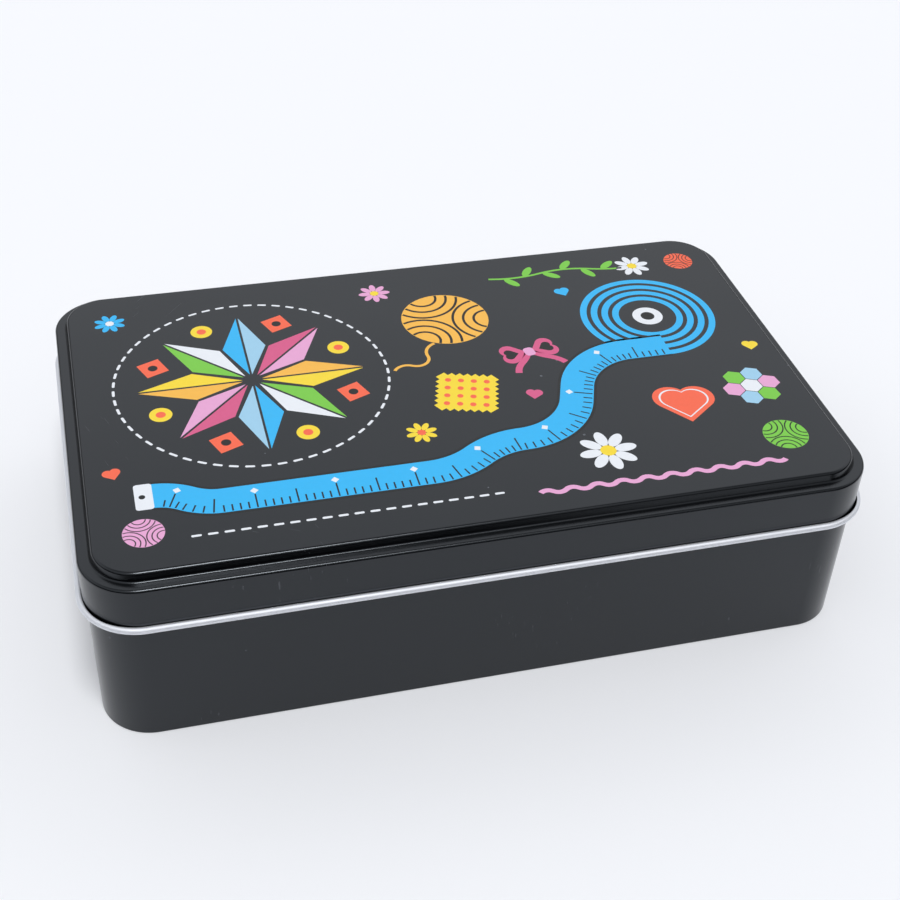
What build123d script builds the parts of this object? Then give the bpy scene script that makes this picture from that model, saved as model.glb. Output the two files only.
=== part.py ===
from build123d import *
import math
import os

# A low rectangular tinplate box with a lift-off lid, for sewing things. Millimetres, +Z up.
# The origin is on the table under the middle of the box; the long side lies along X and
# the front looks towards -Y. The lid is shown shut.

# ---------------------------------------------------------------- sheet
sheet = 0.28  # thickness of the tinplate
bend = 0.22  # inside radius of a pressed bend
seam_gap = 0.04  # air between two layers of a folded seam
flat_sag = 0.02  # bends and curls are drawn in flats, at most this far inside the round

# ---------------------------------------------------------------- lid
lid_length = 200.0  # outside of the skirt, without the curl
lid_width = 124.0
lid_corner = 14.0  # outside corner radius of the skirt
lid_skirt = 12.8  # top of the shoulder down to the underside of the curl
shoulder_bend = 0.45  # inside radius where the shoulder turns down into the skirt
foot_inset = 2.9  # skirt's outside to the foot of the step
edge_inset = 3.7  # skirt's outside to the edge of the raised panel
panel_rise = 2.4  # raised panel over the shoulder
panel_land = 0.5  # flat rim of the panel that is pressed with the step
lid_curl = 1.75  # diameter of the outward curl
lid_curl_gap = 0.06  # curl's edge to the skirt, along the sides
lid_corner_gap = 0.5  # the same in the middle of a corner

# ---------------------------------------------------------------- body
body_height = 48.6  # table to the top of the body's curl
lid_clearance = 0.5  # lid's inside to the body wall, each side
lid_rest_gap = 0.3  # body's curl to the underside of the shoulder
body_curl = 1.6  # diameter of the inward curl at the mouth
body_curl_gap = 0.12  # curl's edge to the wall
hem_height = 2.4  # height of the turned-in hem that holds the bottom
hem_bend = 0.06  # inside radius of the hem's two tight bends

# ---------------------------------------------------------------- lock seam
seam_width = 5.0  # over both folds
seam_stand = 0.3  # flat wall either side of the seam that belongs to it
jog_gap = 0.25  # outer fold to the joggle beside it
jog_slope = 60.0  # degrees between the joggle and the wall
jog_bend = 0.15  # inside radius of the joggle's bends
butt_gap = 0.08  # slit where the strip's ends meet in the curl and in the hem

# ---------------------------------------------------------------- bottom
bottom_rim = 3.0  # flat rim between the flange and the step
bottom_step = 0.8  # height of the pressed step
bottom_step_run = 0.8
bottom_land = 0.5
flange_gap = 0.1  # flange's edge to the floor of the hem

# ---------------------------------------------------------------- worked out
half_sheet = sheet / 2
bend_mid = bend + half_sheet
pitch = sheet + seam_gap

body_inset = sheet + lid_clearance
body_length = lid_length - 2 * body_inset
body_width = lid_width - 2 * body_inset
body_corner = lid_corner - body_inset

shoulder_z = body_height + lid_rest_gap + sheet
panel_z = shoulder_z + panel_rise
lid_curl_z = shoulder_z - lid_skirt + lid_curl / 2
body_curl_z = body_height - body_curl / 2

hem_middle = half_sheet + sheet + 2 * seam_gap + sheet
flange_middle = (half_sheet + hem_middle) / 2
bottom_z = hem_height + seam_gap + bend_mid


def curl_turn(diameter, gap):
    """Degrees that a curl turns, if its edge stops a gap short of the sheet it starts from."""
    radius = diameter / 2
    return 360 - math.degrees(math.acos((radius - sheet - gap) / radius))


def sheet_outline(path):
    """Corners of the sheet's outline along its middle line, with the rounds as short flats."""
    stops = [0.0]
    for edge in path.order_edges():
        flats = 1
        if edge.geom_type == GeomType.CIRCLE:
            widest_turn = 2 * math.acos(1 - flat_sag / edge.radius)
            flats = math.ceil(edge.length / edge.radius / widest_turn)
        stops += [stops[-1] + edge.length * step / flats for step in range(1, flats + 1)]
    left, right = [], []
    for stop in stops:
        middle = path.position_at(stop, position_mode=PositionMode.LENGTH)
        along = path.tangent_at(stop, position_mode=PositionMode.LENGTH)
        across = Vector(-along.Y, along.X) * half_sheet
        left.append(middle + across)
        right.append(middle - across)
    return left + right[::-1]


def side_plane(length):
    """The plane through the middle of the right side: local X runs inwards, local Y up."""
    return Plane(origin=(length / 2, 0, 0), x_dir=(-1, 0, 0), z_dir=(0, 1, 0))


def carried_round(section, length, width, corner):
    """Carry a section, drawn at the middle of the right side, once round the box."""
    corner_axis = Axis((length / 2 - corner, width / 2 - corner, 0), (0, 0, 1))
    with BuildPart() as ring:
        extrude(section.sketch.faces(), amount=width / 2 - corner, dir=(0, 1, 0))
        side_end = ring.faces().sort_by(Axis.Y)[-1]
        revolve(side_end, axis=corner_axis, revolution_arc=90)
        corner_end = ring.faces().sort_by(Axis.X)[0]
        extrude(corner_end, amount=length / 2 - corner, dir=(-1, 0, 0))
        mirror(about=Plane.YZ)
        mirror(about=Plane.XZ)
    return ring.part


# ---------------------------------------------------------------- lid
# One drawn sheet: raised panel, sloping step, flat shoulder, skirt and an outward curl.
with BuildSketch(side_plane(lid_length)) as lid_section:
    with BuildLine(mode=Mode.PRIVATE) as lid_middle:
        lid_profile = FilletPolyline(
            (edge_inset + panel_land, panel_z - half_sheet),
            (edge_inset, panel_z - half_sheet),
            (foot_inset, shoulder_z - half_sheet),
            (half_sheet, shoulder_z - half_sheet),
            (half_sheet, lid_curl_z),
            radius=[bend_mid, bend_mid, shoulder_bend + half_sheet],
        )
        JernArc(
            start=lid_profile @ 1,
            tangent=lid_profile % 1,
            radius=lid_curl / 2 - half_sheet,
            arc_size=-curl_turn(lid_curl, lid_curl_gap),
        )
    with BuildLine():
        Polyline(*sheet_outline(lid_middle.wire()), close=True)
    make_face()
lid_rim = carried_round(lid_section, lid_length, lid_width, lid_corner)

# The curl's edge is a fine gap off the skirt along the sides and stands further off round
# the corners, where the sheet is short: the crescent between two rounded rectangles.
# On the diagonal a rounded corner stops short of the square one by corner_depth radii.
corner_depth = math.sqrt(2) - 1
crescent_side = lid_curl_gap / 2
crescent_corner = lid_corner - (lid_corner_gap - crescent_side * math.sqrt(2)) / corner_depth

panel_inset = edge_inset + panel_land
with BuildPart() as lid:
    add(lid_rim)
    with BuildSketch(Plane.XY.offset(panel_z - sheet)):
        RectangleRounded(
            lid_length - 2 * panel_inset,
            lid_width - 2 * panel_inset,
            lid_corner - panel_inset,
        )
    extrude(amount=sheet)
    with BuildSketch(Plane.XY.offset(lid_curl_z)):
        RectangleRounded(
            lid_length + 2 * crescent_side,
            lid_width + 2 * crescent_side,
            crescent_corner,
        )
        RectangleRounded(lid_length, lid_width, lid_corner, mode=Mode.SUBTRACT)
    extrude(amount=lid_curl, mode=Mode.SUBTRACT)

# ---------------------------------------------------------------- body wall
# One strip bent round the box. Its mouth is curled inwards and its foot is folded up
# inside as a hem, which leaves a narrow flat for the box to stand on.
with BuildSketch(side_plane(body_length)) as wall_section:
    with BuildLine(mode=Mode.PRIVATE) as wall_middle:
        wall_profile = FilletPolyline(
            (hem_middle, hem_height),
            (hem_middle, half_sheet),
            (half_sheet, half_sheet),
            (half_sheet, body_curl_z),
            radius=hem_bend + half_sheet,
        )
        JernArc(
            start=wall_profile @ 1,
            tangent=wall_profile % 1,
            radius=body_curl / 2 - half_sheet,
            arc_size=-curl_turn(body_curl, body_curl_gap),
        )
    with BuildLine():
        Polyline(*sheet_outline(wall_middle.wire()), close=True)
    make_face()
plain_wall = carried_round(wall_section, body_length, body_width, body_corner)

# The strip's ends are hooked into each other at the middle of the back. Counted from the
# outside: the left end, the right end's lip, the left end's lip, the right end.
fold_x = seam_width / 2 - pitch - half_sheet
layer_y = [body_width / 2 - half_sheet - layer * pitch for layer in range(4)]
jog_angle = math.radians(jog_slope)
jog_clear = pitch + sheet + jog_gap  # middle of the outer fold to the middle of the joggle
jog_foot_x = fold_x + (jog_clear - 2 * pitch * math.cos(jog_angle)) / math.sin(jog_angle)
jog_top_x = jog_foot_x + 3 * pitch / math.tan(jog_angle)
seam_left = -seam_width / 2 - seam_stand
seam_right = jog_top_x + jog_bend + half_sheet + seam_stand
seam_low = bottom_z + half_sheet + seam_gap
seam_high = body_height - body_curl - seam_gap
cut_depth = 2 * (body_curl + sheet)  # reaches through the curl and the hem

with BuildPart() as body_wall:
    add(plain_wall)
    # opening in the plain wall for the seam
    with BuildSketch(Plane.XY.offset(seam_low)):
        with Locations(((seam_left + seam_right) / 2, body_width / 2)):
            Rectangle(seam_right - seam_left, cut_depth)
    extrude(amount=seam_high - seam_low, mode=Mode.SUBTRACT)
    # left end of the strip: runs outermost, then folds back as the third layer
    with BuildSketch(Plane.XY.offset(seam_low)):
        with BuildLine():
            left_run = Line((seam_left, layer_y[0]), (fold_x, layer_y[0]))
            left_fold = JernArc(left_run @ 1, left_run % 1, radius=pitch, arc_size=-180)
            Line(left_fold @ 1, (-fold_x, layer_y[2]))
        trace(line_width=sheet)
    extrude(amount=seam_high - seam_low)
    # right end of the strip: joggles inwards, then folds back as the second layer
    with BuildSketch(Plane.XY.offset(seam_low)):
        with BuildLine():
            right_run = FilletPolyline(
                (seam_right, layer_y[0]),
                (jog_top_x, layer_y[0]),
                (jog_foot_x, layer_y[3]),
                (-fold_x, layer_y[3]),
                radius=jog_bend + half_sheet,
            )
            right_fold = JernArc(right_run @ 1, right_run % 1, radius=pitch, arc_size=-180)
            Line(right_fold @ 1, (fold_x, layer_y[1]))
        trace(line_width=sheet)
    extrude(amount=seam_high - seam_low)
    # the ends are notched above and below the seam, and only meet there
    with BuildSketch(Plane.XY.offset(-sheet)):
        with Locations((seam_width / 2 + butt_gap / 2, body_width / 2)):
            Rectangle(butt_gap, cut_depth)
    extrude(amount=seam_low + sheet, mode=Mode.SUBTRACT)
    with BuildSketch(Plane.XY.offset(seam_high)):
        with Locations((seam_width / 2 + butt_gap / 2, body_width / 2)):
            Rectangle(butt_gap, cut_depth)
    extrude(amount=body_height - seam_high + sheet, mode=Mode.SUBTRACT)

# ---------------------------------------------------------------- bottom plate
# A pressed plate: its flange points down into the hem, and its middle is stepped up.
step_inset = flange_middle + bottom_rim
plate_inset = step_inset + bottom_step_run + bottom_land
with BuildSketch(side_plane(body_length)) as bottom_section:
    with BuildLine(mode=Mode.PRIVATE) as bottom_middle:
        FilletPolyline(
            (flange_middle, sheet + flange_gap),
            (flange_middle, bottom_z),
            (step_inset, bottom_z),
            (step_inset + bottom_step_run, bottom_z + bottom_step),
            (plate_inset, bottom_z + bottom_step),
            radius=bend_mid,
        )
    with BuildLine():
        Polyline(*sheet_outline(bottom_middle.wire()), close=True)
    make_face()
bottom_rim_ring = carried_round(bottom_section, body_length, body_width, body_corner)

with BuildPart() as bottom_plate:
    add(bottom_rim_ring)
    with BuildSketch(Plane.XY.offset(bottom_z + bottom_step - half_sheet)):
        RectangleRounded(
            body_length - 2 * plate_inset,
            body_width - 2 * plate_inset,
            body_corner - plate_inset,
        )
    extrude(amount=sheet)

# ---------------------------------------------------------------- files
os.makedirs("parts", exist_ok=True)
lid.part.label = "lid"
body_wall.part.label = "body_wall"
bottom_plate.part.label = "bottom_plate"
export_step(lid.part, "parts/lid.step")
export_step(body_wall.part, "parts/body_wall.step")
export_step(bottom_plate.part, "parts/bottom_plate.step")
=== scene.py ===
import math

import bmesh
import bpy
from bpy.props import FloatProperty, FloatVectorProperty, PointerProperty
from mathutils import Matrix, Vector


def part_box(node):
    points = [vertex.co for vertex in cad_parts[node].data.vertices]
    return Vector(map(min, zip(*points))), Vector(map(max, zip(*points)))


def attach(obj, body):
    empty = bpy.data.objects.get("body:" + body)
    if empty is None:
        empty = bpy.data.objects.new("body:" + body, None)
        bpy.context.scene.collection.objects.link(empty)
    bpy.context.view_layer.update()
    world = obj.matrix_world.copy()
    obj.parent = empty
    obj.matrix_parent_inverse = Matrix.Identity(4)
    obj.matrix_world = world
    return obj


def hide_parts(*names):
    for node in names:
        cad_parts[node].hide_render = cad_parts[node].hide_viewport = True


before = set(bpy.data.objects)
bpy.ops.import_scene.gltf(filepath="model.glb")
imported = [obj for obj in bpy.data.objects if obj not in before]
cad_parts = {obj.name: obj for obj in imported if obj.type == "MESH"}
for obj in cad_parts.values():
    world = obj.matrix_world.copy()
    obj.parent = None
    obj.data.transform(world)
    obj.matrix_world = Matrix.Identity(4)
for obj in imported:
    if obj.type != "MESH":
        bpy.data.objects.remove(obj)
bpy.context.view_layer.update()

bl_info = {
    "name": "Sewing tin",
    "version": (1, 0, 0),
    "blender": (4, 5, 0),
    "location": "3D View > Sidebar > Sewing tin",
    "description": "A black lacquered sewing tin with a printed lift-off lid, and its studio",
    "category": "Add Mesh",
}

MM = 0.001
WELD = 0.001 * MM  # points closer than this are one point

lid_low, lid_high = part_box("lid")
wall_low, wall_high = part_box("body_wall")
bottom_low, bottom_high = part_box("bottom_plate")


# ------------------------------------------------------------------ sizes and colours


def length(name, description, millimetres):
    """A length that a user can change, given in millimetres."""
    return FloatProperty(
        name=name,
        description=description,
        default=millimetres * MM,
        precision=5,
        subtype="DISTANCE",
        unit="LENGTH",
    )


def share(name, description, value):
    """A number from 0 to 1 that a user can change."""
    return FloatProperty(
        name=name, description=description, default=value, min=0, max=1, subtype="FACTOR"
    )


def angle(name, description, degrees):
    """An angle that a user can change, given in degrees."""
    return FloatProperty(
        name=name,
        description=description,
        default=math.radians(degrees),
        subtype="ANGLE",
        unit="ROTATION",
    )


def linear(level):
    """A screen level from 0 to 255 as light."""
    level = level / 255
    return level / 12.92 if level <= 0.04045 else ((level + 0.055) / 1.055) ** 2.4


def colour(name, description, red, green, blue):
    """A colour that a user can change, given as screen levels from 0 to 255."""
    return FloatVectorProperty(
        name=name,
        description=description,
        default=(linear(red), linear(green), linear(blue)),
        min=0,
        max=1,
        size=3,
        subtype="COLOR",
    )


class TinSheet(bpy.types.PropertyGroup):
    """The tinplate and its bends, curls and seams."""

    thickness: length("Thickness", "Thickness of the tinplate", 0.28)
    bend: length("Bend", "Inside radius of the bottom plate's bends", 0.22)
    seam_gap: length("Seam gap", "Air between two layers of a folded seam", 0.04)
    corner: length("Lid corner", "Outside corner radius of the lid's skirt", 14.0)
    shoulder_bend: length("Shoulder bend", "Inside radius from the shoulder to the skirt", 0.45)
    foot_inset: length("Step foot", "Skirt's outside to the foot of the step", 3.05)
    foot_bend: length("Foot bend", "Inside radius at the foot of the step", 0.6)
    edge_inset: length("Panel edge", "Skirt's outside to the edge of the raised panel", 3.7)
    edge_bend: length("Edge bend", "Inside radius at the edge of the raised panel", 0.55)
    panel_rise: length("Panel rise", "Raised panel over the shoulder", 2.4)
    panel_land: length("Panel land", "Rim of the panel beside the step", 0.6)
    lid_curl: length("Lid curl", "Diameter of the outward curl", 1.75)
    lid_curl_gap: length("Lid curl gap", "Curl's edge to the skirt along the sides", 0.06)
    lid_corner_gap: length("Corner gap", "Curl's edge to the skirt in a corner", 0.5)
    clearance: length("Clearance", "Lid's inside to the body wall", 0.5)
    body_curl: length("Body curl", "Diameter of the inward curl at the mouth", 1.6)
    body_curl_gap: length("Body curl gap", "Curl's edge to the wall", 0.12)
    hem_height: length("Hem", "Height of the turned-in hem", 2.4)
    hem_bend: length("Hem bend", "Inside radius of the hem's two bends", 0.06)
    seam_width: length("Lock seam", "Width of the lock seam over both folds", 5.0)
    seam_stand: length("Seam stand", "Flat wall beside the joggle", 0.3)
    jog_gap: length("Joggle gap", "Outer fold to the joggle beside it", 0.25)
    jog_slope: angle("Joggle slope", "Angle between the joggle and the wall", 60)
    jog_bend: length("Joggle bend", "Inside radius of the joggle's bends", 0.15)
    butt_gap: length("Butt gap", "Slit where the strip's ends meet in curl and hem", 0.08)
    bottom_rim: length("Bottom rim", "Flat rim between the flange and the step", 3.0)
    bottom_step: length("Bottom step", "Height and run of the pressed step", 0.8)
    bottom_land: length("Bottom land", "Flat beside the step", 0.5)


class TinLacquer(bpy.types.PropertyGroup):
    """The black lacquer."""

    black: colour("Black", "Colour of the lacquer", 6, 7, 9)
    dust: colour("Dust", "Colour of dust and of fine scratches", 118, 122, 130)
    shine: colour("Shine", "Colour of what the lacquer reflects", 238, 246, 255)
    roughness: share("Roughness", "How satin the lacquer is", 0.2)
    density: FloatProperty(
        name="Index", description="Refractive index of the lacquer", default=1.52, min=1
    )


class TinPlate(bpy.types.PropertyGroup):
    """The bare tinplate."""

    tin: colour("Tin", "Colour of the bare metal", 244, 246, 251)
    roughness: share("Roughness", "How dull the rolled metal is", 0.66)


class TinInks(bpy.types.PropertyGroup):
    """The inks of the lid's print."""

    film: length("Ink film", "Thickness of one layer of ink", 0.006)
    black: colour("Black", "Colour of the details left dark", 8, 9, 11)
    white: colour("White", "White ink", 236, 240, 246)
    sky: colour("Sky blue", "Blue ink", 40, 184, 246)
    ice: colour("Ice blue", "Pale blue ink", 160, 208, 236)
    orange: colour("Orange", "Orange ink", 250, 188, 72)
    yellow: colour("Yellow", "Yellow ink", 250, 220, 48)
    coral: colour("Coral", "Coral ink", 250, 104, 70)
    pink: colour("Pink", "Pink ink", 234, 168, 212)
    rose: colour("Rose", "Deep pink ink", 218, 90, 138)
    green: colour("Green", "Green ink", 122, 204, 66)


def level(name, description, value):
    """A strength of light that a user can change."""
    return FloatProperty(name=name, description=description, default=value, min=0)


class TinStudio(bpy.types.PropertyGroup):
    """The floor, the light and the camera."""

    floor: colour("Floor", "Colour of the pale floor", 244, 245, 248)
    floor_front: length("Floor in front", "Tin's foot to the floor's front edge", 150)
    backdrop: colour("Backdrop", "Colour behind the floor", 245, 247, 251)
    side_light: level("Side light", "Light of the pale walls behind and beside the tin", 1.1)
    low_light: level("Low light", "Light of the walls' foot, near the table", 0.3)
    front_light: level("Front light", "Light of the wall behind the camera", 0.5)
    top_light: level("Top light", "Light of the ceiling", 0.22)
    glow_light: level("Glow", "Light that is added round the key light", 0.4)
    room_light: level("Room light", "Light of the dark room at table height in front", 0.0)
    window_light: level("Window light", "Light of a low window to the right of the camera", 0.9)
    key_light: level("Key light", "Strength of the soft light above the tin", 1.62)
    key_size: angle("Key size", "Angle that the key light fills", 18)
    key_tilt: angle("Key tilt", "Angle of the key light from overhead towards the front", 20)
    azimuth: angle("Camera azimuth", "Turn of the camera's view from +Y towards +X", 16.256)
    elevation: angle("Camera elevation", "Height of the camera over the horizon", 38.548)
    roll: angle("Camera roll", "Tilt of the camera about its own axis", 2.754)
    distance: length("Camera distance", "Camera to the tin's foot, along the view", 429.69)
    aim_across: length("Aim across", "Foot of the tin to the right of the view's middle", -3.848)
    aim_up: length("Aim up", "Foot of the tin above the view's middle", -21.517)
    lens: FloatProperty(
        name="Lens", description="Focal length on a 36 mm sensor", default=58.905, min=1
    )


# ------------------------------------------------------------------ sheet metal


def first_point(bm, place):
    """Add the point where a chain of edges starts."""
    return bmesh.ops.create_vert(bm, co=place)["vert"][0]


def grow_run(bm, tip, end):
    """Extrude the tip of a chain of edges straight to a point, and return the new tip."""
    grown = bmesh.ops.extrude_vert_indiv(bm, verts=[tip])["verts"][0]
    bmesh.ops.translate(bm, verts=[grown], vec=end - grown.co)
    return grown


def grow_bend(bm, tip, centre, axis, turn, steps):
    """Spin the tip of a chain of edges about a centre, and return the new tip."""
    spun = bmesh.ops.spin(bm, geom=[tip], cent=centre, axis=axis, angle=turn, steps=steps)
    return next(item for item in spun["geom_last"] if isinstance(item, bmesh.types.BMVert))


def grow_through(bm, corners, radii, steps=6):
    """Grow a chain of edges from corner to corner, with a round bend at each one between."""
    tip = first_point(bm, corners[0])
    for before, corner, after, radius in zip(corners, corners[1:], corners[2:], radii):
        arriving = (corner - before).normalized()
        leaving = (after - corner).normalized()
        axis = arriving.cross(leaving).normalized()
        turn = arriving.angle(leaving)
        tip = grow_run(bm, tip, corner - arriving * radius * math.tan(turn / 2))
        centre = tip.co + axis.cross(arriving) * radius
        tip = grow_bend(bm, tip, centre, axis, turn, steps)
    return grow_run(bm, tip, corners[-1])


def extrude_edges(bm, edges, travel):
    """Extrude edges along a vector, and return the new edges at the far end."""
    grown = bmesh.ops.extrude_edge_only(bm, edges=edges)["geom"]
    corners = [item for item in grown if isinstance(item, bmesh.types.BMVert)]
    bmesh.ops.translate(bm, verts=corners, vec=travel)
    far = set(corners)
    return [
        item
        for item in grown
        if isinstance(item, bmesh.types.BMEdge) and far.issuperset(item.verts)
    ]


def carry_quarter(bm, half_length, half_width, corner, steps=28):
    """Carry a section, drawn at the middle of the right side, round a quarter of the box."""
    edges = extrude_edges(bm, bm.edges[:], Vector((0, half_width - corner, 0)))
    spun = bmesh.ops.spin(
        bm,
        geom=edges + list({vert for edge in edges for vert in edge.verts}),
        cent=(half_length - corner, half_width - corner, 0),
        axis=(0, 0, 1),
        angle=math.radians(90),
        steps=steps,
    )
    edges = [item for item in spun["geom_last"] if isinstance(item, bmesh.types.BMEdge)]
    extrude_edges(bm, edges, Vector((corner - half_length, 0, 0)))
    bmesh.ops.remove_doubles(bm, verts=bm.verts, dist=WELD)


def mirror_round(bm):
    """Mirror a quarter of the box to the other three."""
    for axis in "XY":
        everything = bm.verts[:] + bm.edges[:] + bm.faces[:]
        bmesh.ops.mirror(bm, geom=everything, axis=axis, merge_dist=WELD)
    bmesh.ops.remove_doubles(bm, verts=bm.verts, dist=WELD)


def fill_panel(bm, height):
    """Close the flat middle of a pressed sheet at a height."""
    rim = [
        edge
        for edge in bm.edges
        if edge.is_boundary and all(abs(vert.co.z - height) < WELD for vert in edge.verts)
    ]
    bmesh.ops.edgeloop_fill(bm, edges=rim)


def face_out(bm, outside):
    """Turn all faces the same way, so that the one furthest along a direction faces along it."""
    bmesh.ops.recalc_face_normals(bm, faces=bm.faces)
    furthest = max(bm.faces, key=lambda face: face.calc_center_median().dot(outside))
    if furthest.normal.dot(outside) < 0:
        bmesh.ops.reverse_faces(bm, faces=bm.faces)


def finished(context, bm, name, materials):
    """Make an object of a finished shape, with its place in its mesh."""
    mesh = bpy.data.meshes.new(name)
    bm.to_mesh(mesh)
    bm.free()
    for material in materials:
        mesh.materials.append(material)
    piece = bpy.data.objects.new(name, mesh)
    context.collection.objects.link(piece)
    return piece


def sheet_piece(context, bm, name, node, body, materials):
    """Make a piece of sheet metal from its middle surface: outer finish, inner finish."""
    for face in bm.faces:
        face.smooth = True
    piece = finished(context, bm, name, materials)
    wall = piece.modifiers.new("Sheet", "SOLIDIFY")
    wall.thickness = context.scene.tin_sheet.thickness
    wall.offset = 0
    wall.use_even_offset = True
    wall.use_quality_normals = True
    wall.material_offset = 1
    wall.material_offset_rim = 1
    smooth = piece.modifiers.new("Smooth flats", "WEIGHTED_NORMAL")
    smooth.keep_sharp = True
    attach(piece, body)
    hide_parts(node)


def curl_turn(radius, thickness, gap):
    """The angle that a curl turns, if its edge stops a gap short of the sheet it starts from."""
    return math.radians(360) - math.acos((radius - thickness - gap) / radius)


# ------------------------------------------------------------------ shader maths


class Value:
    """The output of a shader node, on which arithmetic adds Math nodes."""

    def __init__(self, nodes, socket):
        self.nodes = nodes
        self.socket = socket

    def maths(self, operation, first, second):
        return self.nodes.add("ShaderNodeMath", {"operation": operation}, {0: first, 1: second})

    def __add__(self, other):
        return self.maths("ADD", self, other)

    def __radd__(self, other):
        return self.maths("ADD", other, self)

    def __sub__(self, other):
        return self.maths("SUBTRACT", self, other)

    def __rsub__(self, other):
        return self.maths("SUBTRACT", other, self)

    def __mul__(self, other):
        return self.maths("MULTIPLY", self, other)

    def __rmul__(self, other):
        return self.maths("MULTIPLY", other, self)

    def __truediv__(self, other):
        return self.maths("DIVIDE", self, other)

    def __abs__(self):
        return self.maths("ABSOLUTE", self, 0)

    def __lt__(self, other):
        return self.maths("LESS_THAN", self, other)

    def __gt__(self, other):
        return self.maths("GREATER_THAN", self, other)

    def clamped(self):
        return self.nodes.add("ShaderNodeClamp", {}, {0: self})


class Nodes:
    """A shader's node tree, and the one way in which nodes are added to it."""

    def __init__(self, owner):
        owner.use_nodes = True
        self.tree = owner.node_tree
        self.tree.nodes.clear()

    def add(self, kind, settings, inputs, output=0):
        """Add a node, set it, connect its inputs, and return one of its outputs."""
        node = self.tree.nodes.new(kind)
        for name, setting in settings.items():
            setattr(node, name, setting)
        for name, value in inputs.items():
            if isinstance(value, Value):
                self.tree.links.new(value.socket, node.inputs[name])
            else:
                node.inputs[name].default_value = value
        return Value(self, node.outputs[output]) if node.outputs else node

    def place(self):
        """Where a point of the surface is on the object, in metres."""
        return self.add("ShaderNodeTexCoord", {}, {}, "Object")

    def stretched(self, scale, turn=0):
        """The same, turned about Z and then stretched along each axis."""
        turned = {"Vector": self.place(), "Rotation": (0, 0, math.radians(turn))}
        place = self.add("ShaderNodeMapping", {}, turned)
        return self.add("ShaderNodeMapping", {}, {"Vector": place, "Scale": scale})

    def noise(self, place, scale, detail=2.0, roughness=0.5):
        """Cloudy noise round 0.5."""
        inputs = {"Vector": place, "Scale": scale, "Detail": detail, "Roughness": roughness}
        return self.add("ShaderNodeTexNoise", {}, inputs, "Fac")

    def cells(self, place, scale, output):
        """Scattered cells, with the distance to the middle or a random colour of each."""
        return self.add("ShaderNodeTexVoronoi", {}, {"Vector": place, "Scale": scale}, output)

    def mixed(self, factor, first, second):
        """One colour over another."""
        inputs = {0: factor, 6: first, 7: second}
        return self.add("ShaderNodeMix", {"data_type": "RGBA"}, inputs, 2)

    def bump(self, height, strength, depth):
        """A normal for a height between 0 and 1 that stands for a depth in metres."""
        inputs = {"Height": height, "Strength": strength, "Distance": depth}
        return self.add("ShaderNodeBump", {}, inputs)


def opaque(rgb):
    """A colour with full alpha."""
    return (*rgb, 1)


def finish(nodes, inputs):
    """Close a material with its shader."""
    shader = nodes.add("ShaderNodeBsdfPrincipled", {}, inputs)
    nodes.add("ShaderNodeOutputMaterial", {}, {"Surface": shader})


def lacquer(context, name):
    """Satin black lacquer: a faint unevenness, specks of dust and a few short scratches."""
    look = context.scene.tin_lacquer
    material = bpy.data.materials.new(name)
    nodes = Nodes(material)
    speck_cells, speck_radius, speck_rarity, speck_strength = 330, 0.12, 0.9, 0.55
    scratch_grain, scratch_fineness, scratch_strength = (110, 4200, 500), 0.83, 0.25
    patch_grain, patch_rarity = (30, 30, 30), 0.73
    cloud_share, mark_dullness = 0.10, 0.3
    peel_share, wave_depth = 0.012, 0.12 * MM
    place = nodes.place()
    cloud = nodes.noise(place, 22, 3)
    speck_middle = nodes.cells(place, speck_cells, "Distance") < speck_radius
    speck_chosen = nodes.cells(place, speck_cells, "Color") > speck_rarity
    marks = speck_middle * speck_chosen * speck_strength
    for number, turn in enumerate((25, 70, 130)):
        line = nodes.noise(nodes.stretched(scratch_grain, turn), 1, 0) > scratch_fineness
        chosen = nodes.noise(nodes.stretched(patch_grain, 40 * number), 1, 0) > patch_rarity
        marks = marks + line * chosen * scratch_strength
    marks = marks.clamped()
    peel = nodes.noise(place, 900, 2)
    waves = nodes.noise(place, 14, 1)
    finish(
        nodes,
        {
            "Base Color": nodes.mixed(marks, opaque(look.black), opaque(look.dust)),
            "Roughness": look.roughness + (cloud - 0.5) * cloud_share + marks * mark_dullness,
            "IOR": look.density,
            "Specular Tint": opaque(look.shine),
            "Normal": nodes.bump(waves + peel * peel_share, 1.0, wave_depth),
        },
    )
    return material


def tinplate(context, name, grain):
    """Bare tinplate with the fine grain of its rolling, which runs where grain is small."""
    look = context.scene.tin_plate
    material = bpy.data.materials.new(name)
    nodes = Nodes(material)
    lines = nodes.noise(nodes.stretched(grain), 1, 3, 0.65)
    cloud = nodes.noise(nodes.place(), 45, 3)
    tint = nodes.mixed(lines, opaque([level * 0.9 for level in look.tin]), opaque(look.tin))
    line_share, cloud_share = 0.16, 0.12
    bump_strength, line_depth = 0.35, 0.004 * MM
    roughness = look.roughness + (lines - 0.5) * line_share + (cloud - 0.5) * cloud_share
    finish(
        nodes,
        {
            "Base Color": tint,
            "Metallic": 1.0,
            "Roughness": roughness,
            "Normal": nodes.bump(lines, bump_strength, line_depth),
        },
    )
    return material


def ink(context, name):
    """One printing ink under the same clear varnish as the lacquer."""
    look = context.scene.tin_inks
    material = bpy.data.materials.new("ink_" + name)
    nodes = Nodes(material)
    plain = opaque(getattr(look, name))
    faded = opaque([level * 0.93 for level in getattr(look, name)])
    finish(
        nodes,
        {
            "Base Color": nodes.mixed(nodes.noise(nodes.place(), 700, 3), faded, plain),
            "Roughness": 0.3 + nodes.noise(nodes.place(), 60, 3) * 0.12,
            "IOR": 1.5,
        },
    )
    return material


# ------------------------------------------------------------------ the tin's pieces


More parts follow.
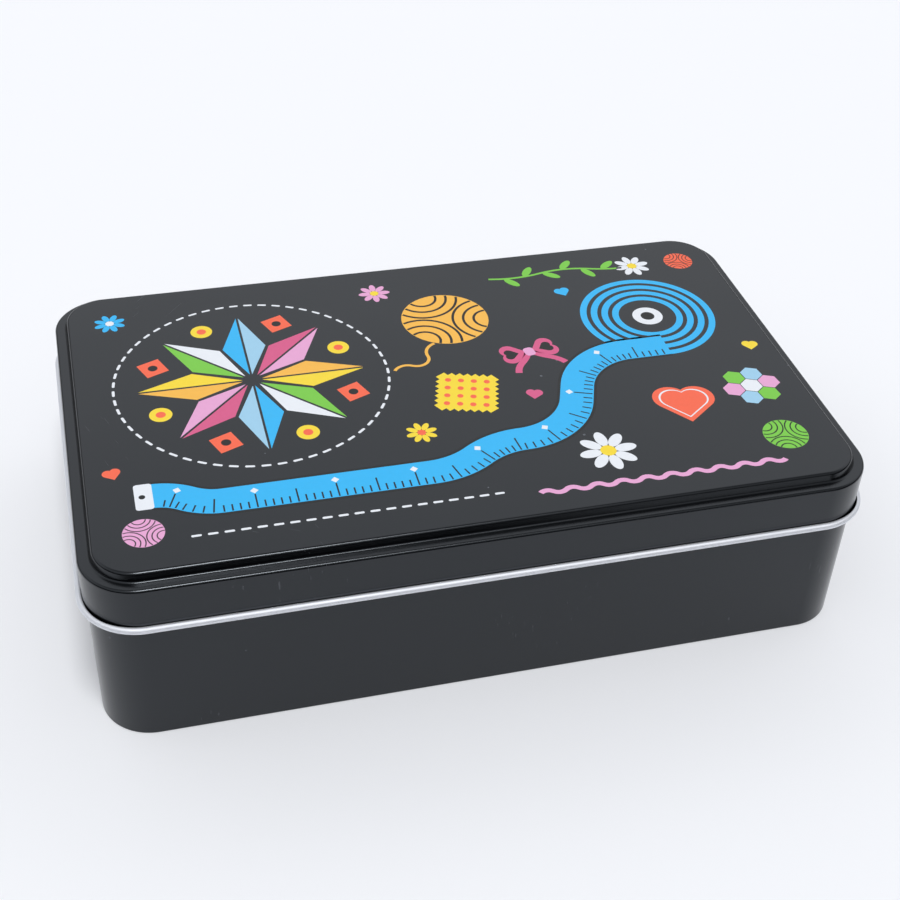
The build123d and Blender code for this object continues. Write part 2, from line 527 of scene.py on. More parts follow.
class TIN_OT_lid(bpy.types.Operator):
    """Draw the lid: raised panel, step, shoulder, skirt and open outward curl"""

    bl_idname = "tin.lid"
    bl_label = "Lid"

    def execute(self, context):
        sizes = context.scene.tin_sheet
        ink_room = 4 * context.scene.tin_inks.film
        half = sizes.thickness / 2
        curl_middle = sizes.lid_curl / 2 - half
        half_length = lid_high.x - sizes.lid_curl + sizes.thickness
        half_width = lid_high.y - sizes.lid_curl + sizes.thickness
        panel_z = lid_high.z - ink_room - half
        shoulder_z = lid_high.z - sizes.panel_rise - half
        curl_z = lid_low.z + sizes.lid_curl / 2
        skirt_x = half_length - half
        panel_x = half_length - sizes.edge_inset - sizes.panel_land

        bm = bmesh.new()
        section = [
            Vector((panel_x, 0, panel_z)),
            Vector((half_length - sizes.edge_inset, 0, panel_z)),
            Vector((half_length - sizes.foot_inset, 0, shoulder_z)),
            Vector((skirt_x, 0, shoulder_z)),
            Vector((skirt_x, 0, curl_z)),
        ]
        bends = (sizes.edge_bend, sizes.foot_bend, sizes.shoulder_bend)
        tip = grow_through(bm, section, [bend + half for bend in bends], 8)
        turn = curl_turn(sizes.lid_curl / 2, sizes.thickness, sizes.lid_curl_gap)
        curl_centre = tip.co + Vector((curl_middle, 0, 0))
        grow_bend(bm, tip, curl_centre, (0, -1, 0), turn, 28)
        carry_quarter(bm, half_length, half_width, sizes.corner)
        self.open_corner_curl(bm, sizes, half_length, half_width, curl_z, turn)
        mirror_round(bm)
        fill_panel(bm, panel_z)
        face_out(bm, Vector((0, 0, 1)))
        finishes = (
            lacquer(context, "lid_lacquer"),
            tinplate(context, "lid_tinplate", (30, 2400, 2400)),
        )
        sheet_piece(context, bm, "tin_lid", "lid", "lid", finishes)
        return {"FINISHED"}

    @staticmethod
    def open_corner_curl(bm, sizes, half_length, half_width, curl_z, turn):
        """Shorten the curl towards the middle of a corner, where the sheet is short."""
        middle = sizes.lid_curl / 2 - sizes.thickness / 2
        corner = Vector((half_length - sizes.corner, half_width - sizes.corner, 0))
        reach = sizes.corner - sizes.thickness / 2 + middle
        for vert in bm.verts:
            offset = (vert.co - corner) * Vector((1, 1, 0))
            if offset.x < WELD or offset.y < WELD:
                continue
            outwards = offset.normalized()
            centre = corner + outwards * reach + Vector((0, 0, curl_z))
            spoke = vert.co - centre
            if abs(spoke.length - middle) > WELD:
                continue
            turned = math.atan2(-spoke.z, -spoke.dot(outwards)) % math.radians(360)
            if turned > turn + 0.01:
                continue
            across = math.sin(2 * math.atan2(offset.y, offset.x)) ** 2
            gap = sizes.lid_curl_gap + (sizes.lid_corner_gap - sizes.lid_curl_gap) * across
            shorter = turn - curl_turn(sizes.lid_curl / 2, sizes.thickness, gap)
            along = outwards.cross(Vector((0, 0, 1)))
            back = Matrix.Rotation(-shorter * turned / turn, 3, along)
            bmesh.ops.rotate(bm, verts=[vert], cent=centre, matrix=back)


class TIN_OT_body_wall(bpy.types.Operator):
    """Bend the body's strip: hem at the foot, curl at the mouth, lock seam at the back"""

    bl_idname = "tin.body_wall"
    bl_label = "Body wall"

    def execute(self, context):
        sizes = context.scene.tin_sheet
        half = sizes.thickness / 2
        hem_middle = half + 2 * sizes.thickness + 2 * sizes.seam_gap
        curl_middle = sizes.body_curl / 2 - half
        curl_z = wall_high.z - sizes.body_curl / 2
        wall_x = wall_high.x - half
        foot = [
            Vector((wall_high.x - hem_middle, 0, sizes.hem_height)),
            Vector((wall_high.x - hem_middle, 0, half)),
            Vector((wall_x, 0, half)),
            Vector((wall_x, 0, curl_z)),
        ]
        bm = bmesh.new()
        tip = grow_through(bm, foot, [sizes.hem_bend + half] * 2)
        turn = curl_turn(sizes.body_curl / 2, sizes.thickness, sizes.body_curl_gap)
        curl_centre = tip.co - Vector((curl_middle, 0, 0))
        grow_bend(bm, tip, curl_centre, (0, -1, 0), turn, 26)
        corner = sizes.corner - sizes.thickness - sizes.clearance
        carry_quarter(bm, wall_high.x, wall_high.y, corner)
        mirror_round(bm)
        seam_low = bottom_high.z - sizes.bottom_step + sizes.seam_gap
        seam_high = curl_z - sizes.body_curl / 2 - sizes.seam_gap
        self.lock_seam(bm, sizes, seam_low, seam_high)
        face_out(bm, Vector((0, -1, 0)))
        finishes = (
            lacquer(context, "body_lacquer"),
            tinplate(context, "wall_tinplate", (30, 30, 2400)),
        )
        sheet_piece(context, bm, "tin_body_wall", "body_wall", "body", finishes)
        return {"FINISHED"}

    def lock_seam(self, bm, sizes, low, high):
        """Cut the plain wall open at the middle of the back and hook its two ends together."""
        half = sizes.thickness / 2
        pitch = sizes.thickness + sizes.seam_gap
        fold_x = sizes.seam_width / 2 - pitch - half
        layer_y = [wall_high.y - half - layer * pitch for layer in range(4)]
        jog_clear = pitch + sizes.thickness + sizes.jog_gap
        jog_run = jog_clear - 2 * pitch * math.cos(sizes.jog_slope)
        jog_foot_x = fold_x + jog_run / math.sin(sizes.jog_slope)
        jog_top_x = jog_foot_x + 3 * pitch / math.tan(sizes.jog_slope)
        right_x = jog_top_x + sizes.jog_bend + half + sizes.seam_stand
        slit_x = sizes.seam_width / 2
        ends = (fold_x, slit_x, slit_x + sizes.butt_gap, right_x)
        cuts = [(Vector((x, 0, 0)), (1, 0, 0)) for x in ends]
        cuts += [(Vector((0, 0, z)), (0, 0, 1)) for z in (low, high)]
        for place, direction in cuts:
            self.cut_back(bm, place, direction)
        opened = []
        for face in bm.faces:
            middle = face.calc_center_median()
            if middle.y < 0:
                continue
            beside_seam = low < middle.z < high
            in_window = beside_seam and fold_x < middle.x < right_x
            in_slit = not beside_seam and slit_x < middle.x < slit_x + sizes.butt_gap
            if in_window or in_slit:
                opened.append(face)
        bmesh.ops.delete(bm, geom=opened, context="FACES")
        self.left_end(bm, fold_x, layer_y, pitch, low, high)
        corners = [
            Vector((right_x, layer_y[0], low)),
            Vector((jog_top_x, layer_y[0], low)),
            Vector((jog_foot_x, layer_y[3], low)),
            Vector((-fold_x, layer_y[3], low)),
        ]
        self.right_end(bm, corners, fold_x, layer_y, sizes.jog_bend + half, high)
        bmesh.ops.remove_doubles(bm, verts=bm.verts, dist=WELD)

    @staticmethod
    def cut_back(bm, place, direction):
        """Cut the back wall along a plane."""
        back = [face for face in bm.faces if min(vert.co.y for vert in face.verts) > 0]
        edges = {edge for face in back for edge in face.edges}
        verts = {vert for face in back for vert in face.verts}
        geometry = list(verts) + list(edges) + back
        bmesh.ops.bisect_plane(bm, geom=geometry, dist=WELD, plane_co=place, plane_no=direction)

    @staticmethod
    def left_end(bm, fold_x, layer_y, pitch, low, high):
        """The strip's left end folds back inwards as the seam's third layer."""
        known = set(bm.edges)
        start = Vector((fold_x, layer_y[0], low))
        tip = first_point(bm, start)
        centre = start - Vector((0, pitch, 0))
        tip = grow_bend(bm, tip, centre, (0, 0, -1), math.radians(180), 10)
        grow_run(bm, tip, Vector((-fold_x, layer_y[2], low)))
        added = [edge for edge in bm.edges if edge not in known]
        extrude_edges(bm, added, Vector((0, 0, high - low)))

    @staticmethod
    def right_end(bm, corners, fold_x, layer_y, radius, high):
        """The right end joggles inwards, runs behind and folds back as the second layer."""
        known = set(bm.edges)
        tip = grow_through(bm, corners, [radius, radius])
        centre = Vector((-fold_x, layer_y[2], tip.co.z))
        tip = grow_bend(bm, tip, centre, (0, 0, -1), math.radians(180), 10)
        low = tip.co.z
        grow_run(bm, tip, Vector((fold_x, layer_y[1], low)))
        added = [edge for edge in bm.edges if edge not in known]
        extrude_edges(bm, added, Vector((0, 0, high - low)))


class TIN_OT_bottom_plate(bpy.types.Operator):
    """Press the bottom plate, whose flange is held in the hem"""

    bl_idname = "tin.bottom_plate"
    bl_label = "Bottom plate"

    def execute(self, context):
        sizes = context.scene.tin_sheet
        half = sizes.thickness / 2
        flange_x = bottom_high.x - half
        top_z = bottom_high.z - half
        rim_z = top_z - sizes.bottom_step
        step_x = flange_x - sizes.bottom_rim
        section = [
            Vector((flange_x, 0, bottom_low.z)),
            Vector((flange_x, 0, rim_z)),
            Vector((step_x, 0, rim_z)),
            Vector((step_x - sizes.bottom_step, 0, top_z)),
            Vector((step_x - sizes.bottom_step - sizes.bottom_land, 0, top_z)),
        ]
        bm = bmesh.new()
        grow_through(bm, section, [sizes.bend + half] * 3)
        corner = sizes.corner - (lid_high.x - sizes.lid_curl + sizes.thickness - bottom_high.x)
        carry_quarter(bm, bottom_high.x, bottom_high.y, corner)
        mirror_round(bm)
        fill_panel(bm, top_z)
        face_out(bm, Vector((0, 0, 1)))
        metal = tinplate(context, "bottom_tinplate", (30, 2400, 2400))
        finishes = (metal, metal)
        sheet_piece(context, bm, "tin_bottom_plate", "bottom_plate", "body", finishes)
        return {"FINISHED"}


# ------------------------------------------------------------------ flat shapes in millimetres


def at(x, y, turn=0.0, size=1.0):
    """A place on the panel: a point, a turn in degrees and a scale."""
    spin = Matrix.Rotation(math.radians(turn), 4, "Z")
    return Matrix.Translation((x, y, 0)) @ spin @ Matrix.Diagonal((size, size, 1, 1))


def disc(radius, segments=40):
    """A full circle."""
    shape = bmesh.new()
    bmesh.ops.create_circle(shape, cap_ends=True, segments=segments, radius=radius)
    return shape


def oval(long, wide, segments=28):
    """An ellipse along X."""
    shape = disc(0.5, segments)
    bmesh.ops.scale(shape, verts=shape.verts, vec=(long, wide, 1))
    return shape


def bar(long, wide):
    """A straight bar along X with round ends."""
    shape = disc(wide / 2, 18)
    far = [vert for vert in shape.verts if vert.co.x > 0]
    bmesh.ops.translate(shape, verts=shape.verts, vec=(-(long - wide) / 2, 0, 0))
    bmesh.ops.translate(shape, verts=far, vec=(long - wide, 0, 0))
    return shape


def box(long, wide, corner=0.0):
    """A rectangle along X, with rounded corners if a radius is given."""
    shape = bmesh.new()
    bmesh.ops.create_grid(shape, x_segments=1, y_segments=1, size=0.5)
    bmesh.ops.scale(shape, verts=shape.verts, vec=(long, wide, 1))
    if corner:
        bmesh.ops.bevel(
            shape,
            geom=shape.verts[:],
            offset=corner,
            segments=6,
            profile=0.5,
            affect="VERTICES",
            material=-1,
        )
    return shape


def band(radius, wide, start, sweep):
    """Part of a ring round the origin, from a start angle over a sweep, in degrees."""
    shape = bmesh.new()
    inner = first_point(shape, (radius - wide / 2, 0, 0))
    grow_run(shape, inner, Vector((radius + wide / 2, 0, 0)))
    bmesh.ops.rotate(shape, verts=shape.verts, matrix=Matrix.Rotation(math.radians(start), 3, "Z"))
    steps = max(4, round(abs(sweep) * max(radius, 3) / 30))
    full = abs(sweep) >= 360
    bmesh.ops.spin(
        shape,
        geom=shape.verts[:] + shape.edges[:],
        axis=(0, 0, 1),
        angle=math.radians(sweep),
        steps=steps,
        use_merge=full,
    )
    return shape


def pose_along(start, legs, distance):
    """Where a route has got to after a distance. A leg is a length and its turn in degrees."""
    pose = start
    for leg, turn in legs:
        travel = min(distance, leg)
        distance -= travel
        if turn:
            radius = leg / math.radians(turn)
            spin = Matrix.Rotation(travel / radius, 4, "Z")
            out = Matrix.Translation((0, radius, 0))
            pose = pose @ out @ spin @ out.inverted()
        else:
            pose = pose @ Matrix.Translation((travel, 0, 0))
    return pose


def route_length(legs):
    """The length of a route."""
    return sum(leg for leg, _ in legs)


def ribbon(start, legs, wide, step=1.2):
    """A band that follows a route."""
    shape = bmesh.new()
    inner = first_point(shape, (0, -wide / 2, 0))
    grow_run(shape, inner, Vector((0, wide / 2, 0)))
    pose = start
    shape.transform(pose)
    edges = shape.edges[:]
    count = math.ceil(route_length(legs) / step)
    for number in range(1, count + 1):
        ahead = pose_along(start, legs, route_length(legs) * number / count)
        edges = extrude_edges(shape, edges, Vector())
        verts = list({vert for edge in edges for vert in edge.verts})
        bmesh.ops.transform(shape, verts=verts, matrix=ahead @ pose.inverted())
        pose = ahead
    return shape


def heart(size):
    """A heart that stands on its tip at the origin, as wide as its size."""
    side = size / (1 / math.sqrt(2) + 0.5 + 0.5)
    half = side / math.sqrt(2)
    shape = bmesh.new()
    tip = first_point(shape, (0, 0, 0))
    tip = grow_run(shape, tip, Vector((half, half, 0)))
    lobe = Vector((half / 2, 1.5 * half, 0))
    tip = grow_bend(shape, tip, lobe, (0, 0, 1), math.radians(180), 16)
    everything = shape.verts[:] + shape.edges[:]
    bmesh.ops.mirror(shape, geom=everything, axis="X", merge_dist=WELD / MM)
    bmesh.ops.edgeloop_fill(shape, edges=shape.edges)
    return shape


def triangle(first, second, third):
    """A triangle between three points of the panel."""
    shape = bmesh.new()
    corners = [first_point(shape, (x, y, 0)) for x, y in (first, second, third)]
    bmesh.ops.contextual_create(shape, geom=corners)
    return shape


def pinked_square(side, teeth):
    """A square of cloth with a zigzag edge."""
    pitch = side / teeth
    shape = bmesh.new()
    tip = first_point(shape, (-side / 2, -side / 2, 0))
    for tooth in range(teeth):
        left = -side / 2 + tooth * pitch
        tip = grow_run(shape, tip, Vector((left + pitch / 2, -side / 2 - pitch / 2, 0)))
        tip = grow_run(shape, tip, Vector((left + pitch, -side / 2, 0)))
    quarter = shape.verts[:] + shape.edges[:]
    bmesh.ops.spin(
        shape,
        geom=quarter,
        axis=(0, 0, 1),
        angle=math.radians(270),
        steps=3,
        use_duplicate=True,
    )
    bmesh.ops.remove_doubles(shape, verts=shape.verts, dist=0.01)
    bmesh.ops.edgeloop_fill(shape, edges=shape.edges)
    return shape


class Print:
    """Flat shapes of ink on the lid's panel, gathered in one piece."""

    def __init__(self, context, name):
        self.context = context
        self.film = context.scene.tin_inks.film / MM
        self.name = name
        self.inks = []
        self.bm = bmesh.new()

    def stamp(self, shape, place, ink_name, layer=0):
        """Give a flat shape its ink and its thickness and add it in its place."""
        if ink_name not in self.inks:
            self.inks.append(ink_name)
        bmesh.ops.translate(shape, verts=shape.verts, vec=(0, 0, -self.film / 2))
        raised = bmesh.ops.extrude_face_region(shape, geom=shape.faces[:], use_keep_orig=True)
        verts = [item for item in raised["geom"] if isinstance(item, bmesh.types.BMVert)]
        bmesh.ops.translate(shape, verts=verts, vec=(0, 0, self.film * (layer + 1.5)))
        bmesh.ops.recalc_face_normals(shape, faces=shape.faces)
        for face in shape.faces:
            face.material_index = self.inks.index(ink_name)
        shape.transform(place)
        scratch = bpy.data.meshes.new("stamp")
        shape.to_mesh(scratch)
        shape.free()
        self.bm.from_mesh(scratch)
        bpy.data.meshes.remove(scratch)

    def stitches(self, start, legs, pitch, long, wide, ink_name, layer=0):
        """Running stitches along a route."""
        count = round(route_length(legs) / pitch)
        for number in range(count):
            place = pose_along(start, legs, (number + 0.5) * route_length(legs) / count)
            self.stamp(bar(long, wide), place, ink_name, layer)

    def piece(self):
        """Lay the print on the panel and make it a piece of the lid."""
        sizes = self.context.scene.tin_inks
        bmesh.ops.scale(self.bm, verts=self.bm.verts, vec=(MM, MM, MM))
        bmesh.ops.translate(self.bm, verts=self.bm.verts, vec=(0, 0, lid_high.z - 4 * sizes.film))
        inks = [
            bpy.data.materials.get("ink_" + name) or ink(self.context, name) for name in self.inks
        ]
        piece = finished(self.context, self.bm, self.name, inks)
        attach(piece, "lid")


# ------------------------------------------------------------------ the print


class TIN_OT_print_tape(bpy.types.Operator):
    """Print the measuring tape that winds across the lid from its roll"""

    bl_idname = "tin.print_tape"
    bl_label = "Printed tape measure"

    def execute(self, context):
        sheet = Print(context, "print_tape_measure")
        roll_x, roll_y, roll_radius, wide = 66.0, 19.0, 19.5, 9.0
        for winding in range(4):
            radius = roll_radius - 0.9 - winding * 3.1
            sheet.stamp(band(radius, 1.9, 0, 360), at(roll_x, roll_y), "sky")
        sheet.stamp(disc(4.4), at(roll_x, roll_y), "white")
        sheet.stamp(disc(2.0), at(roll_x, roll_y), "black", 1)
        start = at(roll_x, roll_y - roll_radius + wide / 2, 180)
        legs = [(12, 0), (24.4, 70), (7, 0), (24.4, -70), (14, 35), (14, -35), (52, 0)]
        legs += [(9, -34), (9, 34)]
        sheet.stamp(ribbon(start, legs, wide + 1.6), Matrix(), "black")
        sheet.stamp(ribbon(start, legs, wide), Matrix(), "sky", 1)
        total = route_length(legs)
        spacing = 2.0
        for number in range(1, int(total / spacing)):
            tall = 5.0 if number % 5 == 0 else 2.4
            place = pose_along(start, legs, number * spacing)
            tick = place @ at(0, wide / 2 - tall / 2 - 0.3)
            sheet.stamp(box(0.42, tall), tick, "black", 2)
            if number % 10 == 0:
                diamond = place @ at(0, -2.1, 45)
                sheet.stamp(box(1.5, 1.5), diamond, "white", 2)
        end = pose_along(start, legs, total)
        sheet.stamp(box(4.4, wide + 0.6, 0.8), end @ at(1.6, 0), "white", 2)
        sheet.stamp(disc(0.8, 20), end @ at(2.0, 0), "black", 3)
        sheet.piece()
        return {"FINISHED"}


class TIN_OT_print_star(bpy.types.Operator):
    """Print the patchwork star in its ring of running stitches"""

    bl_idname = "tin.print_star"
    bl_label = "Printed patchwork star"

    def execute(self, context):
        sheet = Print(context, "print_patchwork_star")
        centre = at(-50, 10.5)
        point = 31.0
        side = point / (2 * math.cos(math.radians(22.5)))
        elbow = (side * math.cos(math.radians(22.5)), side * math.sin(math.radians(22.5)))
        pairs = [("orange", "yellow"), ("rose", "pink"), ("sky", "ice"), ("green", "white")]
        for number in range(8):
            dark, pale = pairs[number % 4]
            turned = centre @ at(0, 0, 45 * number)
            for ink_name, up in ((dark, 1), (pale, -1)):
                seam = 0.32
                shape = triangle(
                    (2.6, seam * up),
                    (point - 0.8, seam * up),
                    (elbow[0], (elbow[1] - 0.5) * up),
                )
                sheet.stamp(shape, turned, ink_name)
            dot = centre @ at(0, 0, 45 * number + 22.5) @ at(27.5, 0, 45)
            if number % 2:
                sheet.stamp(box(6.4, 6.4), dot, "coral")
                sheet.stamp(disc(1.3, 24), dot, "black", 1)
            else:
                sheet.stamp(disc(3.0, 30), dot, "yellow")
                sheet.stamp(disc(1.3, 24), dot, "coral", 1)
        ring = 36.6
        legs = [(2 * math.pi * ring, 360)]
        sheet.stitches(centre @ at(0, -ring), legs, 4.0, 2.5, 0.75, "white")
        sheet.piece()
        return {"FINISHED"}


def yarn_ball(sheet, x, y, radius, ink_name, turn=0.0):
    """A ball of yarn: three winds of strands, each round a point of the rim."""
    sheet.stamp(disc(radius, 48), at(x, y), ink_name)
    for side in (90, 210, 330):
        rim = at(x, y, side + turn) @ at(radius, 0, 180)
        for share_of_radius in (0.34, 0.58, 0.82):
            reach = radius * share_of_radius
            half_sweep = math.degrees(math.acos(share_of_radius / 2)) - 2
            strand = band(reach, radius * 0.06, -half_sweep, 2 * half_sweep)
            sheet.stamp(strand, rim, "black", 1)


class TIN_OT_print_yarn(bpy.types.Operator):
    """Print the balls of yarn and the loose end of the largest"""

    bl_idname = "tin.print_yarn"
    bl_label = "Printed yarn"

    def execute(self, context):
        sheet = Print(context, "print_yarn_balls")
        yarn_ball(sheet, 8, 29, 12.5, "orange", 20)
        legs = [(7, 80), (8, -130), (6, 90)]
        sheet.stamp(ribbon(at(2, 17.6, -160), legs, 0.9, 0.7), Matrix(), "orange")
        yarn_ball(sheet, 82, -41, 6.0, "green", 45)
        yarn_ball(sheet, -84, -45, 5.0, "pink", 10)
        yarn_ball(sheet, 86, 46, 4.4, "coral", 40)
        sheet.piece()
        return {"FINISHED"}


def daisy(sheet, x, y, radius, petal_name, middle_name, turn=0.0):
    """A flower of eight petals."""
    for petal in range(8):
        place = at(x, y, turn + 45 * petal) @ at(radius * 0.62, 0)
        sheet.stamp(oval(radius * 0.76, radius * 0.40), place, petal_name)
    sheet.stamp(disc(radius * 0.27, 24), at(x, y), middle_name, 1)


class TIN_OT_print_flowers(bpy.types.Operator):
    """Print the leafy sprig and the flowers"""

    bl_idname = "tin.print_flowers"
    bl_label = "Printed flowers"

    def execute(self, context):
        sheet = Print(context, "print_flowers")
        start = at(26, 47, -12)
        legs = [(16, 26), (16, -30), (10, 16)]
        sheet.stamp(ribbon(start, legs, 0.8, 0.8), Matrix(), "green")
        for number in range(6):
            up = 1 if number % 2 else -1
            stem = pose_along(start, legs, 5 + 6.2 * number)
            leaf = stem @ at(1.6, 2.3 * up, 48 * up)
            sheet.stamp(oval(5.6, 2.4), leaf, "green", 1)
        daisy(sheet, 71, 46, 5.4, "white", "yellow", 10)
        daisy(sheet, 34, -38, 7.8, "white", "yellow", 5)
        daisy(sheet, -9, 46, 4.6, "pink", "yellow", 0)
        daisy(sheet, -85, 45, 4.4, "sky", "white", 20)
        daisy(sheet, -11, -21, 4.2, "yellow", "coral", 12)
        sheet.piece()
        return {"FINISHED"}


class TIN_OT_print_bow(bpy.types.Operator):
    """Print the bow and the hearts"""

    bl_idname = "tin.print_bow"
    bl_label = "Printed bow and hearts"

    def execute(self, context):
        sheet = Print(context, "print_bow_and_hearts")
        bow = at(27, 8.5, 10)
        for side in (1, -1):
            loop = bow @ at(0.6 * side, 0, -84 * side)
            sheet.stamp(heart(8.4), loop, "rose")
            sheet.stamp(heart(4.4), loop @ at(0, 2.6), "black", 1)
            tail = bow @ at(0.8 * side, -0.6, -90 + 34 * side)
            sheet.stamp(ribbon(tail, [(5, 20 * side), (5, -34 * side)], 1.9), Matrix(), "rose")
        sheet.stamp(box(3.0, 3.8, 1.1), bow, "pink", 2)
        patch = at(60, -31, -8)
        sheet.stamp(heart(17), patch, "coral")
        sheet.stamp(heart(13.6), patch @ at(0, 1.9), "white", 1)
        sheet.stamp(heart(12.6), patch @ at(0, 2.4), "coral", 2)
        for x, y, size, ink_name, turn in (
            (22, -13, 4.6, "rose", -15),
            (-89, -24, 4.6, "coral", 14),
            (46, 34, 4.6, "sky", 10),
            (89, -3, 4.6, "yellow", -12),
        ):
            sheet.stamp(heart(size), at(x, y, turn), ink_name)
        sheet.piece()
        return {"FINISHED"}


class TIN_OT_print_cloth(bpy.types.Operator):
    """Print the pinked swatch, the wavy braid and the stitched lines"""

    bl_idname = "tin.print_cloth"
    bl_label = "Printed cloth and trims"

    def execute(self, context):
        sheet = Print(context, "print_cloth_and_trims")
        swatch = at(5, -6.5, -16)
        sheet.stamp(pinked_square(15, 7), swatch, "yellow")
        for row in range(4):
            for column in range(4):
                dot = swatch @ at(3.5 * (column - 1.5), 3.5 * (row - 1.5))
                sheet.stamp(disc(0.85, 18), dot, "coral", 1)
        patches = at(82, -19, 8)
        for number, ink_name in enumerate(("pink", "ice", "green") * 2):
            petal = patches @ at(0, 0, 60 * number) @ at(5.5, 0)
            sheet.stamp(disc(3.05, 6), petal, ink_name)
        sheet.stamp(disc(3.05, 6), patches, "white")
        wave = [(3.6, -84), (3.6, 84)] * 10
        sheet.stamp(ribbon(at(12, -50.5, 42), wave, 1.5, 0.6), Matrix(), "pink")
        sheet.stitches(at(-74, -48.5), [(78, 0)], 4.0, 2.5, 0.75, "white")
        sheet.piece()
        return {"FINISHED"}


# ------------------------------------------------------------------ studio


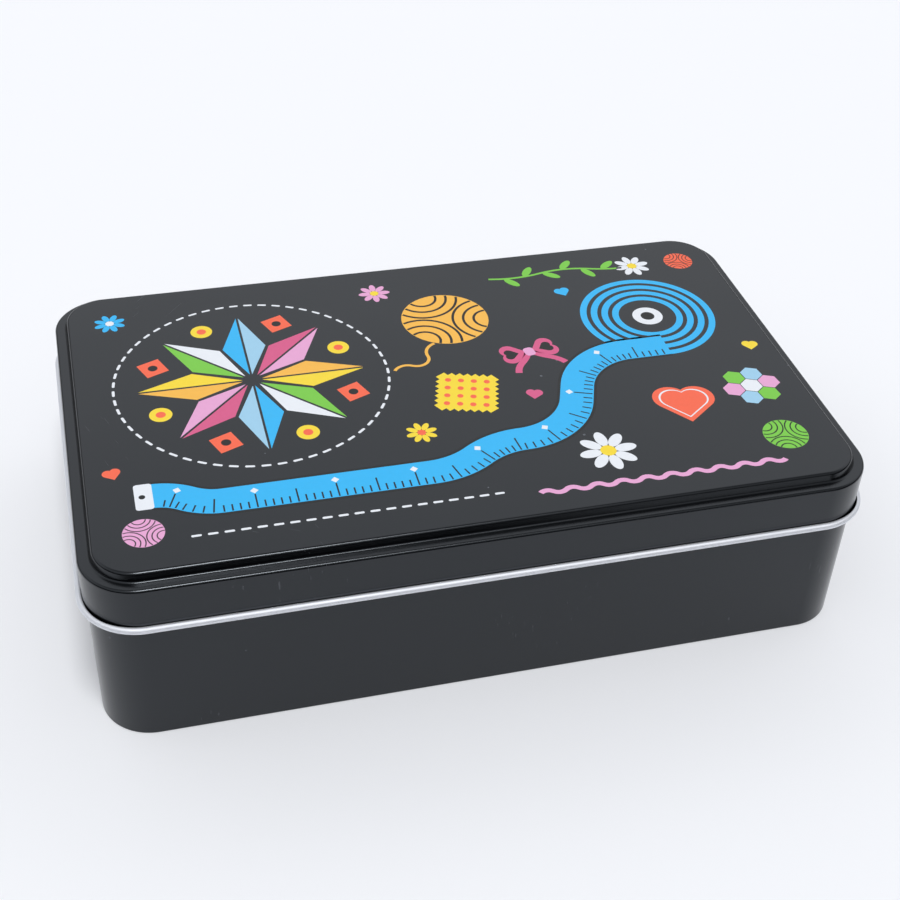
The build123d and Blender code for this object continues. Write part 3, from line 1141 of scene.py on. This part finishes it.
class TIN_OT_studio(bpy.types.Operator):
    """Lay the pale floor, set the soft light and place the camera"""

    bl_idname = "tin.studio"
    bl_label = "Studio"

    def execute(self, context):
        studio = context.scene.tin_studio
        self.floor(context, studio)
        self.surroundings(context, studio)
        self.key(context, studio)
        self.camera(context, studio)
        context.scene.view_settings.view_transform = "Standard"
        return {"FINISHED"}

    @staticmethod
    def floor(context, studio):
        """A wide pale floor under the tin, which ends a little way in front of it."""
        bm = bmesh.new()
        bmesh.ops.create_grid(bm, x_segments=1, y_segments=1, size=3)
        bmesh.ops.translate(bm, verts=bm.verts, vec=(0, 3 + lid_low.y - studio.floor_front, 0))
        material = bpy.data.materials.new("pale_floor")
        nodes = Nodes(material)
        inputs = {"Base Color": opaque(studio.floor), "Roughness": 0.9, "Specular IOR Level": 0.0}
        finish(nodes, inputs)
        floor = finished(context, bm, "floor", [material])

    @staticmethod
    def surroundings(context, studio):
        """Pale walls with a dim foot, a dim ceiling with a glow round the key light, and in
        front a dark room at table height, with a low window at its right."""
        world = bpy.data.worlds.new("studio")
        context.scene.world = world
        nodes = Nodes(world)
        direction = nodes.add("ShaderNodeTexCoord", {}, {}, "Generated")
        right, back, up = (
            nodes.add("ShaderNodeSeparateXYZ", {}, {0: direction}, axis) for axis in "XYZ"
        )
        # where each part of the room starts, as a share of a view's length, and how softly
        front_start, front_blend = 0.05, 0.15
        foot_top, foot_blend = 0.47, 0.1
        ceiling_start, ceiling_blend = 0.7, 0.2
        table_top, table_blend = 0.42, 0.12
        glow_up, glow_front, glow_left, glow_rim, glow_blend = 0.9, 0.36, 0.25, 0.72, 0.2
        window_left, window_right, window_drop, window_half = 0.33, 0.62, 0.1, 0.12
        in_front = ((front_start - back) / front_blend).clamped()
        at_foot = ((foot_top - up) / foot_blend).clamped()
        towards_key = up * glow_up - back * glow_front - right * glow_left
        glow = ((towards_key - glow_rim) / glow_blend).clamped()
        at_top = ((up - ceiling_start) / ceiling_blend).clamped()
        at_table = in_front * ((table_top - up) / table_blend).clamped()
        slant = right / (back * -1)
        beside = (slant > window_left) * (slant < window_right)
        window = in_front * beside * (abs(up + window_drop) < window_half)
        light = studio.side_light - in_front * (studio.side_light - studio.front_light)
        light = light - at_foot * (light - studio.low_light)
        light = light - at_top * (light - studio.top_light) + glow * studio.glow_light
        light = light - at_table * (light - studio.room_light)
        light = light + window * (studio.window_light - light)
        seen = nodes.add("ShaderNodeLightPath", {}, {}, "Is Camera Ray")
        strength = light + seen * (1 - light)
        shade = nodes.add(
            "ShaderNodeBackground", {}, {"Color": opaque(studio.backdrop), "Strength": strength}
        )
        nodes.add("ShaderNodeOutputWorld", {}, {"Surface": shade})

    @staticmethod
    def key(context, studio):
        """A soft light above the tin, tilted towards the camera."""
        lamp = bpy.data.lights.new("key", "SUN")
        lamp.energy = studio.key_light
        lamp.angle = studio.key_size
        light = bpy.data.objects.new("key", lamp)
        light.matrix_world = Matrix.Rotation(studio.key_tilt, 4, "X")
        context.collection.objects.link(light)

    @staticmethod
    def camera(context, studio):
        """A camera that looks down at the tin's front from the left."""
        data = bpy.data.cameras.new("camera")
        data.sensor_width = 36
        data.lens = studio.lens
        data.clip_start = 0.01
        camera = bpy.data.objects.new("camera", data)
        context.collection.objects.link(camera)
        turn = (
            Matrix.Rotation(-studio.azimuth, 4, "Z")
            @ Matrix.Rotation(math.radians(90) - studio.elevation, 4, "X")
            @ Matrix.Rotation(studio.roll, 4, "Z")
        )
        aim = Matrix.Translation((-studio.aim_across, -studio.aim_up, studio.distance))
        camera.matrix_world = turn @ aim
        context.scene.camera = camera


class TIN_PT_sewing_tin(bpy.types.Panel):
    """The tin's pieces and its studio"""

    bl_idname = "TIN_PT_sewing_tin"
    bl_label = "Sewing tin"
    bl_space_type = "VIEW_3D"
    bl_region_type = "UI"
    bl_category = "Sewing tin"

    def draw(self, context):
        for step in STEPS:
            self.layout.operator(step.bl_idname)
        for group, _ in GROUPS:
            settings = getattr(context.scene, group)
            column = self.layout.column(heading=settings.bl_rna.name)
            for name in settings.__annotations__:
                column.prop(settings, name)


GROUPS = (
    ("tin_sheet", TinSheet),
    ("tin_lacquer", TinLacquer),
    ("tin_plate", TinPlate),
    ("tin_inks", TinInks),
    ("tin_studio", TinStudio),
)
STEPS = (
    TIN_OT_lid,
    TIN_OT_body_wall,
    TIN_OT_bottom_plate,
    TIN_OT_print_tape,
    TIN_OT_print_star,
    TIN_OT_print_yarn,
    TIN_OT_print_flowers,
    TIN_OT_print_bow,
    TIN_OT_print_cloth,
    TIN_OT_studio,
)


def register():
    for name, group in GROUPS:
        bpy.utils.register_class(group)
        setattr(bpy.types.Scene, name, PointerProperty(type=group))
    for step in STEPS:
        bpy.utils.register_class(step)
    bpy.utils.register_class(TIN_PT_sewing_tin)


def unregister():
    bpy.utils.unregister_class(TIN_PT_sewing_tin)
    for step in reversed(STEPS):
        bpy.utils.unregister_class(step)
    for name, group in reversed(GROUPS):
        delattr(bpy.types.Scene, name)
        bpy.utils.unregister_class(group)


def main():
    register()
    bpy.ops.tin.lid()
    bpy.ops.tin.body_wall()
    bpy.ops.tin.bottom_plate()
    bpy.ops.tin.print_tape()
    bpy.ops.tin.print_star()
    bpy.ops.tin.print_yarn()
    bpy.ops.tin.print_flowers()
    bpy.ops.tin.print_bow()
    bpy.ops.tin.print_cloth()
    bpy.ops.tin.studio()


if __name__ == "__main__":
    main()
